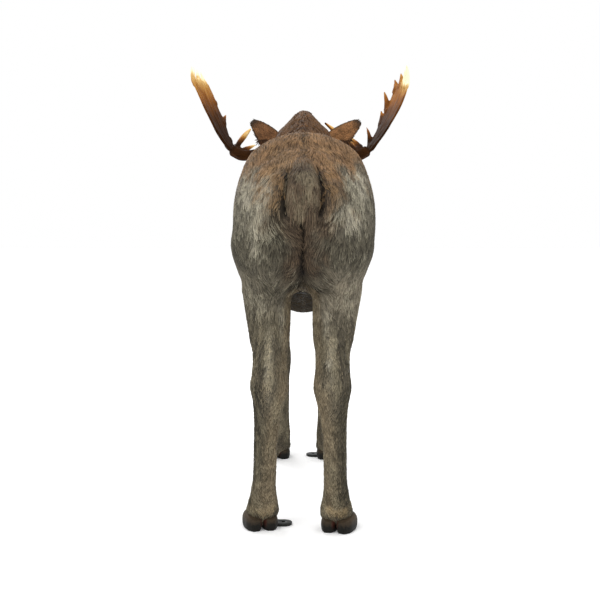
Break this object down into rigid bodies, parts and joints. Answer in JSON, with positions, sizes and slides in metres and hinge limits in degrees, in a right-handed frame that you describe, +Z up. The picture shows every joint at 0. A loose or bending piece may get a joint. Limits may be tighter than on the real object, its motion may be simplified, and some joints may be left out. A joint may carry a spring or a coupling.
{
  "type": "life-size moose statue",
  "caption": "Life-size statue of a standing bull moose with palmed antlers, head turned a little to its left, on hooves with flat anchor tabs.",
  "frame": {"origin": "on the floor, under the middle of the statue's box", "axes": "+Z up, +Y the way the moose faces, +X its right"},
  "size_m": [1.29, 2.798, 2.27],
  "materials": {
    "coat": "moulded resin with the coat in relief, painted grey-brown and dry-brushed pale",
    "antler": "satin painted resin, dark brown at the base and cream at the tips",
    "hoof": "near-black painted resin",
    "eye": "polished dark brown glass",
    "anchor": "black painted flat steel"
  },
  "bodies": {
    "root": {"trunk": "coat", "neck": "coat", "head": "coat", "tail": "coat", "bell": "coat", "ear_left": "coat", "ear_right": "coat", "hindleg_left": "coat", "hindleg_right": "coat", "foreleg_left": "coat", "foreleg_right": "coat", "antler_left_beam": "antler", "antler_left_brow": "antler", "antler_left_palm": "antler", "antler_right_beam": "antler", "antler_right_brow": "antler", "antler_right_palm": "antler", "hindleg_left_toe_a": "hoof", "hindleg_left_toe_b": "hoof", "hindleg_right_toe_a": "hoof", "hindleg_right_toe_b": "hoof", "foreleg_left_toe_a": "hoof", "foreleg_left_toe_b": "hoof", "foreleg_right_toe_a": "hoof", "foreleg_right_toe_b": "hoof", "eye_left": "eye", "eye_right": "eye", "hindleg_left_anchor_tab": "anchor", "foreleg_right_anchor_tab": "anchor"}
  },
  "joints": []
}
